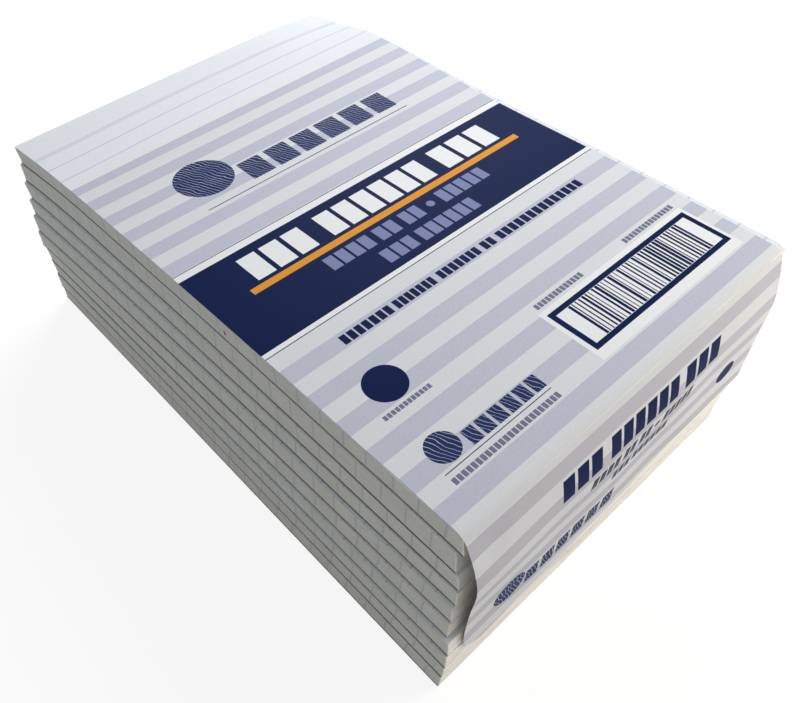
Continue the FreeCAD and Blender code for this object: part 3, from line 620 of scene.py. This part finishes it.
def wrapperMaterial():
    # machine-finished wrapping paper, printed in flat inks: off-white with a faint tooth, pale lavender
    # stripes, a navy band with an orange rule, and plain blocks and discs. place.x is mm from the
    # sheet's left edge, place.y mm up from the crease along the paper, and less than 0 on the flap.
    # the flap's stripe ink is the stripe ink again, made warmer and paler: painted warm light on the flap,
    # not an ink of its own
    inks = {"paper": "#D6D9DB", "stripe": "#BABDCB", "flapStripePaintedLight": "#BEBCC4", "navy": "#041845",
            "orange": "#DD952F", "hair": "#3F4352", "soft": "#7C84AB", "white": "#E6E8E8",
            "pen": "#22305C", "fine": "#70768C"}
    layout = {"stripePitch": 10.1, "stripeStart": 4.0, "stripeWidth": 5.1, "flapPitch": 10.7,
              "printTurn": 0.0068, "penPitch": 1.15, "penShare": 0.9}
    # rows of plain blocks: ink, low, high, then the runs with their start, end and number of blocks
    rows = [
        ("white", 88.2, 98.6, ((15.7, 36.5, 3), (41.5, 81.5, 6), (86.0, 108.7, 3))),
        ("soft", 77.3, 82.8, ((32.2, 47.5, 4), (49.5, 57.0, 2), (59.2, 66.2, 2), (73.7, 92.2, 5))),
        ("soft", 69.2, 74.5, ((44.8, 55.8, 3), (57.8, 79.7, 6))),
        ("navy", 55.3, 58.5, ((17.0, 33.3, 7), (34.5, 48.3, 7), (50.0, 65.0, 7), (66.5, 71.0, 2),
                              (72.7, 107.8, 14))),
        ("pen", 124.7, 134.5, ((41.5, 99.5, 6),)),
        ("pen", 14.2, 18.8, ((18.0, 42.3, 6),)),
        ("fine", 9.8, 11.6, ((7.8, 42.2, 24),)),
        ("fine", 31.2, 33.0, ((59.0, 77.3, 13), (95.3, 117.3, 15))),
        ("fine", 32.0, 33.4, ((8.4, 23.0, 12),)),
        ("navy", -15.5, -7.9, ((29.3, 43.8, 3), (47.0, 74.8, 6), (77.8, 93.8, 3))),
        ("hair", -23.3, -18.2, ((41.0, 52.2, 4), (53.7, 58.8, 2), (60.3, 65.3, 2), (70.5, 83.7, 5))),
        ("hair", -31.0, -26.9, ((52.2, 59.5, 3), (60.8, 76.2, 6))),
        ("pen", -47.5, -40.5, ((22.0, 57.8, 6),)),
    ]
    # plain fields and bars: ink, left, right, low, high
    fields = [
        ("white", -5.0, 130.0, 64.9, 104.4), ("navy", -5.0, 130.0, 66.4, 101.9),
        ("orange", 11.7, 113.0, 84.5, 86.8), ("hair", 0.0, 125.0, 64.6, 64.9),
        ("hair", 0.0, 125.0, 104.4, 104.7),
        ("hair", 23.2, 100.7, 121.8, 122.15), ("hair", 7.8, 42.2, 13.0, 13.25),
        ("white", 57.6, 118.3, 9.8, 30.2), ("navy", 59.0, 117.2, 12.8, 28.5),
        ("white", 60.7, 115.5, 14.4, 26.9),
    ]
    # discs: ink, centre, radius
    discs = [("pen", 31.0, 136.0, 9.2), ("navy", 15.7, 40.2, 5.6), ("pen", 12.6, 18.6, 4.3),
             ("soft", 69.9, 80.0, 1.3), ("hair", 67.7, -20.7, 1.2), ("pen", 16.0, -42.0, 5.6),
             ("navy", 109.0, -35.5, 4.0)]
    # upright bars of chance width: left, right, low, high, pitch
    codeBars = (65.0, 111.3, 14.5, 26.8, 1.3)
    material, tree = newMaterial("printed_wrapping_paper")
    place = addNode(tree, "ShaderNodeAttribute", {"attribute_name": "place"}).outputs["Vector"]
    split = addNode(tree, "ShaderNodeSeparateXYZ", None, {0: place})
    across = split.outputs["X"]

    # the print is turned a little on the paper, its left end nearer the head
    aside = addNode(tree, "ShaderNodeMath", {"operation": "SUBTRACT"}, {0: across, 1: 62.0})
    turned = addNode(tree, "ShaderNodeMath", {"operation": "MULTIPLY_ADD"},
                     {0: aside.outputs[0], 1: layout["printTurn"], 2: split.outputs["Y"]})
    up = turned.outputs[0]
    # the paper's tooth is too fine to show, so it is drawn 0.8 mm wide
    tooth = addNode(tree, "ShaderNodeTexNoise", None, {"Vector": place, "Scale": 1.3, "Detail": 4.0})
    cloudy = addNode(tree, "ShaderNodeMapRange", None,
                     {"Value": tooth.outputs["Fac"], "From Min": 0.3, "From Max": 0.7,
                      "To Min": 0.955, "To Max": 1.0})
    # stripes: the remainder of the distance up by the pitch, which is a little wider on the flap
    onFlap = addNode(tree, "ShaderNodeMath", {"operation": "LESS_THAN"}, {0: up, 1: 0.0})
    pitch = addNode(tree, "ShaderNodeMath", {"operation": "MULTIPLY_ADD"},
                    {0: onFlap.outputs[0], 1: layout["flapPitch"] - layout["stripePitch"],
                     2: layout["stripePitch"]})
    fromStart = addNode(tree, "ShaderNodeMath", {"operation": "SUBTRACT"},
                        {0: up, 1: layout["stripeStart"]})
    inPitch = addNode(tree, "ShaderNodeMath", {"operation": "FLOORED_MODULO"},
                      {0: fromStart.outputs[0], 1: pitch.outputs[0]})
    striped = addNode(tree, "ShaderNodeMath", {"operation": "LESS_THAN"},
                      {0: inPitch.outputs[0], 1: layout["stripeWidth"]})
    # ink lies a little thinner here and there
    thin = addNode(tree, "ShaderNodeMapRange", None,
                   {"Value": tooth.outputs["Fac"], "From Min": 0.35, "From Max": 0.75,
                    "To Min": 1.0, "To Max": 0.86})
    stripes = addNode(tree, "ShaderNodeMath", {"operation": "MULTIPLY"},
                      {0: striped.outputs[0], 1: thin.outputs[0]})
    # on the flap the stripes take that warmer, paler colour: painted warm light falling on the flap
    flapStripePaintedLightMask = addNode(tree, "ShaderNodeMath", {"operation": "MULTIPLY"},
                     {0: stripes.outputs[0], 1: onFlap.outputs[0]})
    marks = [(stripes.outputs[0], "stripe"), (flapStripePaintedLightMask.outputs[0], "flapStripePaintedLight")]    # the print, lowest first
    for ink, left, right, low, high in fields:
        marks.append((printedBox(tree, across, up, left, right, low, high), ink))
    # pen strokes: steep fine lines that break up the pen ink. They are too fine to show, so they are
    # drawn 1.15 mm apart, and they wobble every 4 mm.
    wobble = addNode(tree, "ShaderNodeTexNoise", None, {"Vector": place, "Scale": 0.25, "Detail": 1.0})
    bent = addNode(tree, "ShaderNodeMath", {"operation": "MULTIPLY_ADD"},
                   {0: wobble.outputs["Fac"], 1: 2.0, 2: across})
    slant = addNode(tree, "ShaderNodeMath", {"operation": "MULTIPLY_ADD"},
                    {0: up, 1: 0.4, 2: bent.outputs[0]})
    inStroke = addNode(tree, "ShaderNodeMath", {"operation": "FLOORED_MODULO"},
                       {0: slant.outputs[0], 1: layout["penPitch"]})
    strokes = addNode(tree, "ShaderNodeMath", {"operation": "LESS_THAN"},
                      {0: inStroke.outputs[0], 1: layout["penPitch"] * layout["penShare"]})
    # a run of blocks: where the remainder of the distance across by the block's pitch is under its width
    for ink, low, high, runs in rows:
        for start, end, count in runs:
            blockPitch = (end - start) / (count - 0.15)
            fromLeft = addNode(tree, "ShaderNodeMath", {"operation": "SUBTRACT"}, {0: across, 1: start})
            inBlock = addNode(tree, "ShaderNodeMath", {"operation": "FLOORED_MODULO"},
                              {0: fromLeft.outputs[0], 1: blockPitch})
            onBlock = addNode(tree, "ShaderNodeMath", {"operation": "LESS_THAN"},
                              {0: inBlock.outputs[0], 1: blockPitch * 0.8})
            box = printedBox(tree, across, up, start, end, low, high)
            blocks = addNode(tree, "ShaderNodeMath", {"operation": "MULTIPLY"},
                             {0: onBlock.outputs[0], 1: box})
            marks.append((blocks.outputs[0], ink))
    # a disc: where the distance from its centre is under its radius
    for ink, centreAcross, centreUp, radius in discs:
        centred = addNode(tree, "ShaderNodeCombineXYZ", None, {0: across, 1: up})
        away = addNode(tree, "ShaderNodeVectorMath", {"operation": "DISTANCE"},
                       {0: centred.outputs[0], 1: (centreAcross, centreUp, 0.0)})
        onDisc = addNode(tree, "ShaderNodeMath", {"operation": "LESS_THAN"},
                         {0: away.outputs["Value"], 1: radius})
        marks.append((onDisc.outputs[0], ink))
    # upright bars: each pitch is inked from its left end over a share of it that chance gives
    left, right, low, high, barPitch = codeBars
    steps = addNode(tree, "ShaderNodeMath", {"operation": "DIVIDE"}, {0: across, 1: barPitch})
    whole = addNode(tree, "ShaderNodeMath", {"operation": "FLOOR"}, {0: steps.outputs[0]})
    number = addNode(tree, "ShaderNodeTexWhiteNoise", {"noise_dimensions": "1D"}, {"W": whole.outputs[0]})
    inked = addNode(tree, "ShaderNodeMath", {"operation": "MULTIPLY_ADD"},
                    {0: number.outputs["Value"], 1: 0.6, 2: 0.2})
    inBar = addNode(tree, "ShaderNodeMath", {"operation": "FRACT"}, {0: steps.outputs[0]})
    dark = addNode(tree, "ShaderNodeMath", {"operation": "LESS_THAN"},
                   {0: inBar.outputs[0], 1: inked.outputs[0]})
    upright = addNode(tree, "ShaderNodeMath", {"operation": "MULTIPLY"},
                      {0: dark.outputs[0], 1: printedBox(tree, across, up, left, right, low, high)})
    marks.append((upright.outputs[0], "navy"))
    # one ink laid over another, over the paper
    colour = linearColour(inks["paper"])
    for mask, ink in marks:
        if ink == "pen":
            mask = addNode(tree, "ShaderNodeMath", {"operation": "MULTIPLY"},
                           {0: mask, 1: strokes.outputs[0]}).outputs[0]
        laid = addNode(tree, "ShaderNodeMix", {"data_type": "RGBA"},
                       {0: mask, 6: colour, 7: linearColour(inks[ink])})
        colour = laid.outputs[2]
    toned = addNode(tree, "ShaderNodeMix", {"data_type": "RGBA", "blend_type": "MULTIPLY"},
                    {0: 1.0, 6: colour, 7: cloudy.outputs[0]})
    bump = addNode(tree, "ShaderNodeBump", None,
                   {"Height": tooth.outputs["Fac"], "Strength": 0.2, "Distance": 0.00003})
    finishMaterial(tree, toned.outputs[2], 0.55, bump.outputs[0], 0.045)
    return material


def makeWrapper():
    # the outer surface, and the inner one a paper's thickness behind it
    x, y, z, along = wrapperSurface()
    outer = np.stack([x, y, z], -1)
    normal = np.cross(np.gradient(outer, axis=0), np.gradient(outer, axis=1))
    normal /= np.linalg.norm(normal, axis=-1, keepdims=True)
    inner = outer - normal * wrapper["thickness"]
    rim = rimOrder(*x.shape)
    middle = (outer.reshape(-1, 3)[rim] + inner.reshape(-1, 3)[rim])[None] / 2
    points, faces, capFaces = closedBlock(outer, inner, middle)
    place = np.stack([x + wrapper["printLeft"], along, 0 * x], -1).reshape(-1, 3)
    places = np.concatenate([place, place, place[rim]])
    piece = makePiece("printed_wrapper", points, faces, [wrapperMaterial()], None, places, 60)
    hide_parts("paper_wrapper")


makeWrapper()
print("wrapper made")


studio = {
    "floorHalf": 9000.0, "floor": "#D6D6D3", "shadowShare": 0.2, "floorGlow": 1.06, "skyGlow": 0.94,
    "worldStrength": 0.445, "world": "#F3F5F8",
    # lamps: place and size in mm, watts, colour
    "lamps": {"right_softbox": ((410.0, -300.0, 215.0), 300.0, 2.45, "#FFF6EC"),
              "back_window": ((270.0, 250.0, 360.0), 260.0, 1.6, "#F6F9FF")},
    "aim": (0.0, 0.0, 40.0),
}


def makeFloor():
    # a white sweep: the camera sees mostly plain white with a little of the real shading, so that the
    # object's shadow stays
    half = studio["floorHalf"]
    x, y = np.meshgrid(np.linspace(-half, half, 5), np.linspace(-half, half, 5), indexing="ij")
    points = np.stack([x, y, 0 * x - 0.02], -1).reshape(-1, 3)
    corner = (np.arange(4)[:, None] * 5 + np.arange(4)).ravel()
    mesh = bpy.data.meshes.new("floor")
    faces = np.stack([corner, corner + 5, corner + 6, corner + 1], 1)
    mesh.from_pydata((points * mm).tolist(), [], faces.tolist())
    floor = bpy.data.objects.new("floor", mesh)
    bpy.context.scene.collection.objects.link(floor)
    material, tree = newMaterial("matt_white_sweep")
    plain = addNode(tree, "ShaderNodeEmission", None,
                    {"Color": (1, 1, 1, 1), "Strength": studio["floorGlow"]})
    ray = addNode(tree, "ShaderNodeLightPath")
    seen = addNode(tree, "ShaderNodeMath", {"operation": "MAXIMUM"},
                   {0: ray.outputs["Is Camera Ray"], 1: ray.outputs["Is Glossy Ray"]})
    tint = addNode(tree, "ShaderNodeMix", {"data_type": "RGBA"},
                   {0: seen.outputs[0], 6: linearColour(studio["floor"]), 7: (1, 1, 1, 1)})
    matt = addNode(tree, "ShaderNodeBsdfDiffuse", None, {"Color": tint.outputs[2]})
    share = addNode(tree, "ShaderNodeMath", {"operation": "MULTIPLY"},
                    {0: seen.outputs[0], 1: 1 - studio["shadowShare"]})
    mixed = addNode(tree, "ShaderNodeMixShader", None,
                    {0: share.outputs[0], 1: matt.outputs[0], 2: plain.outputs[0]})
    addNode(tree, "ShaderNodeOutputMaterial", None, {"Surface": mixed.outputs[0]})
    mesh.materials.append(material)


def makeLight():
    # a pale world for the fill, and square lamps turned to the block
    world = bpy.data.worlds.new("studio")
    world.use_nodes = True
    tree = world.node_tree
    tree.nodes.clear()
    ray = addNode(tree, "ShaderNodeLightPath")
    seen = addNode(tree, "ShaderNodeMath", {"operation": "MAXIMUM"},
                   {0: ray.outputs["Is Camera Ray"], 1: ray.outputs["Is Glossy Ray"]})
    fill = addNode(tree, "ShaderNodeBackground", None,
                   {"Color": linearColour(studio["world"]), "Strength": studio["worldStrength"]})
    white = addNode(tree, "ShaderNodeBackground", None,
                    {"Color": (1, 1, 1, 1), "Strength": studio["skyGlow"]})
    mixed = addNode(tree, "ShaderNodeMixShader", None,
                    {0: seen.outputs[0], 1: fill.outputs[0], 2: white.outputs[0]})
    addNode(tree, "ShaderNodeOutputWorld", None, {"Surface": mixed.outputs[0]})
    bpy.context.scene.world = world
    for name, (place, size, watts, colour) in studio["lamps"].items():
        light = bpy.data.lights.new(name, "AREA")
        light.size = size * mm
        light.energy = watts
        light.color = linearColour(colour)[:3]
        lamp = bpy.data.objects.new(name, light)
        bpy.context.scene.collection.objects.link(lamp)
        lamp.visible_camera = False
        away = np.array(place) - np.array(studio["aim"])
        flat = math.hypot(away[0], away[1])
        lamp.location = [v * mm for v in place]
        lamp.rotation_euler = (math.atan2(flat, away[2]), 0, math.atan2(away[1], away[0]) + math.pi / 2)


def makeCamera():
    # where the photographer stood: above the near left corner
    view = {"place": (-119.48, -148.37, 219.17), "turn": (41.041, 0.658, -43.596), "lens": 36.55}
    data = bpy.data.cameras.new("camera")
    data.sensor_width, data.lens = 36.0, view["lens"]
    data.clip_start, data.clip_end = 0.01, 20.0
    camera = bpy.data.objects.new("camera", data)
    bpy.context.scene.collection.objects.link(camera)
    camera.location = [v * mm for v in view["place"]]
    camera.rotation_euler = [math.radians(a) for a in view["turn"]]
    bpy.context.scene.camera = camera


makeFloor()
makeLight()
makeCamera()
bpy.context.scene.view_settings.view_transform = "Standard"
print("table, light and camera made")
